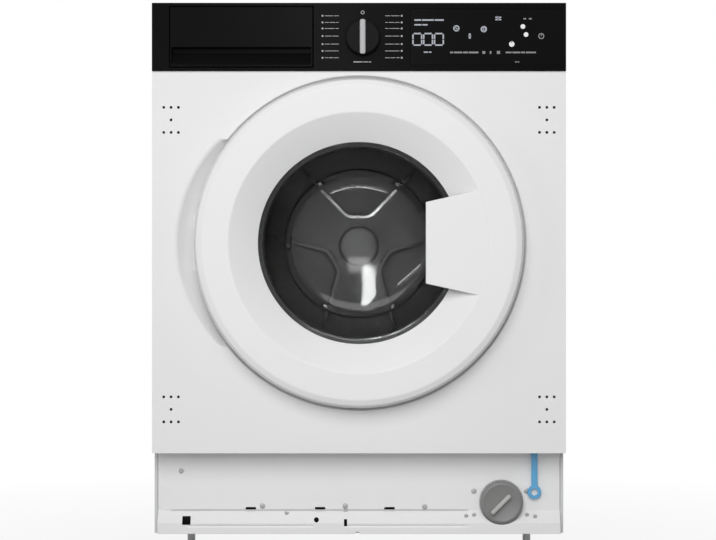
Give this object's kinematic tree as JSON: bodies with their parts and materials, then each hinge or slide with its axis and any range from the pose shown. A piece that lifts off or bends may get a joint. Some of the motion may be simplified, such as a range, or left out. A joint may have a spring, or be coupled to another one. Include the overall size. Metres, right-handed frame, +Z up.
{
  "type": "integrated washing machine",
  "caption": "Built-in front-loading washing machine with a round glass door, black control fascia with knob and detergent drawer, set-back plinth and belt-driven drum.",
  "frame": {"origin": "centre of the floor rectangle under the machine", "axes": "+Z up, the door faces -Y, +X to the right of someone facing the door"},
  "size_m": [0.595, 0.56, 0.82],
  "materials": {
    "white_enamel": "smooth white enamel",
    "galvanised_side": "satin light grey coated steel",
    "white_plastic": "smooth white moulding",
    "black_gloss": "gloss black moulding",
    "black_satin": "satin black moulding",
    "silver_grip": "satin silver plating",
    "display_glass": "smooth dark overlay",
    "circuit_board": "coated board",
    "door_glass": "clear moulded glass",
    "zinc_steel": "zinc plated",
    "drum_steel": "bright stainless sheet",
    "lifter_plastic": "grey moulding",
    "tub_plastic": "filled polypropylene",
    "grey_rubber": "soft grey rubber",
    "black_rubber": "black rubber",
    "grey_plastic": "grey moulding",
    "foot_black": "black foot",
    "blue_plastic": "bright blue moulding",
    "cast_weight": "raw casting",
    "cast_aluminium": "as cast",
    "motor_grey": "painted casing"
  },
  "bodies": {
    "cabinet": {"side_panel_left": "galvanised_side", "side_panel_right": "galvanised_side", "front_panel": "white_enamel", "plinth_panel": "white_enamel", "rear_panel": "galvanised_side", "transit_plugs": "grey_plastic", "rear_cover": "galvanised_side", "top_panel": "galvanised_side", "base_tray": "tub_plastic", "fascia": "black_gloss", "dispenser_housing": "tub_plastic", "display_window": "display_glass", "control_board": "circuit_board", "hinge_bracket": "zinc_steel", "door_lock": "grey_plastic", "tub_front": "tub_plastic", "tub_rear": "tub_plastic", "door_gasket": "grey_rubber", "gasket_clamp": "zinc_steel", "counterweight_top": "cast_weight", "counterweight_front": "cast_weight", "suspension_springs": "zinc_steel", "damper_cylinders": "grey_plastic", "damper_rods": "zinc_steel", "heater": "zinc_steel", "drum_bearings": "zinc_steel", "shaft_seal": "black_rubber", "drive_belt": "black_rubber", "motor": "motor_grey", "filter_housing": "tub_plastic", "drain_pump": "tub_plastic", "water_hoses": "black_rubber", "inlet_valve": "white_plastic", "cord_gland": "black_rubber"},
    "door": {"door_ring": "white_plastic", "door_handle": "white_plastic", "door_back_ring": "white_plastic", "door_glass": "door_glass", "hinge_arm": "zinc_steel"},
    "door_hook": {"door_hook": "zinc_steel"},
    "drum": {"drum_shell": "drum_steel", "drum_rear_wall": "drum_steel", "drum_lifters": "lifter_plastic", "drum_spider": "cast_aluminium", "drum_shaft": "zinc_steel", "drum_pulley": "cast_aluminium"},
    "motor_rotor": {"motor_pulley": "zinc_steel"},
    "knob": {"program_knob": "black_satin", "knob_grip_bar": "silver_grip", "knob_spindle": "zinc_steel"},
    "drawer": {"drawer_front": "black_gloss", "drawer_tray": "white_plastic", "siphon_insert": "blue_plastic"},
    "filter_seal": {"filter_seal": "black_rubber"},
    "filter_plug": {"filter_plug": "grey_plastic"},
    "release_strap": {"release_strap": "blue_plastic"},
    "foot_front_left": {"foot_front_left": "foot_black"},
    "foot_front_right": {"foot_front_right": "foot_black"},
    "foot_rear_left": {"foot_rear_left": "foot_black"},
    "foot_rear_right": {"foot_rear_right": "foot_black"}
  },
  "joints": [
    {"name": "door_hinge", "type": "hinge", "parent": "cabinet", "child": "door", "pos_m": [-0.226, -0.252, 0.475], "axis": [0, 0, -1], "range_deg": [0, 110]},
    {"name": "hook_pivot", "type": "hinge", "parent": "door", "child": "door_hook", "pos_m": [0.2, -0.244, 0.475], "axis": [0, 0, -1], "range_deg": [0, 10], "stiffness_Nm_per_rad": 0.3},
    {"name": "drum_spin", "type": "hinge", "parent": "cabinet", "child": "drum", "pos_m": [0, 0, 0.475], "axis": [0, 1, 0], "continuous": true},
    {"name": "motor_spin", "type": "hinge", "parent": "cabinet", "child": "motor_rotor", "pos_m": [0, 0.2, 0.145], "axis": [0, 1, 0], "continuous": true},
    {"name": "knob_turn", "type": "hinge", "parent": "cabinet", "child": "knob", "pos_m": [0.0053, -0.249, 0.7697], "axis": [0, -1, 0], "continuous": true},
    {"name": "drawer_slide", "type": "slide", "parent": "cabinet", "child": "drawer", "axis": [0, -1, 0], "range_m": [0, 0.18]},
    {"name": "filter_pull", "type": "slide", "parent": "cabinet", "child": "filter_seal", "axis": [0, -1, 0], "range_m": [0, 0.1]},
    {"name": "filter_turn", "type": "hinge", "parent": "filter_seal", "child": "filter_plug", "pos_m": [0.2072, -0.2, 0.0988], "axis": [0, -1, 0], "range_deg": [0, 450]},
    {"name": "release_pull", "type": "slide", "parent": "cabinet", "child": "release_strap", "axis": [0, 0, -1], "range_m": [0, 0.015], "stiffness_N_per_m": 200},
    {"name": "foot_front_left_turn", "type": "hinge", "parent": "cabinet", "child": "foot_front_left", "pos_m": [-0.2495, -0.136, 0], "axis": [0, 0, 1], "range_deg": [-720, 720]},
    {"name": "foot_front_right_turn", "type": "hinge", "parent": "cabinet", "child": "foot_front_right", "pos_m": [0.2495, -0.136, 0], "axis": [0, 0, 1], "range_deg": [-720, 720]},
    {"name": "foot_rear_left_turn", "type": "hinge", "parent": "cabinet", "child": "foot_rear_left", "pos_m": [-0.2495, 0.234, 0], "axis": [0, 0, 1], "range_deg": [-720, 720]},
    {"name": "foot_rear_right_turn", "type": "hinge", "parent": "cabinet", "child": "foot_rear_right", "pos_m": [0.2495, 0.234, 0], "axis": [0, 0, 1], "range_deg": [-720, 720]}
  ],
  "couplings": [
    {"joint": "motor_spin", "follows": "drum_spin", "ratio": 11.667}
  ]
}
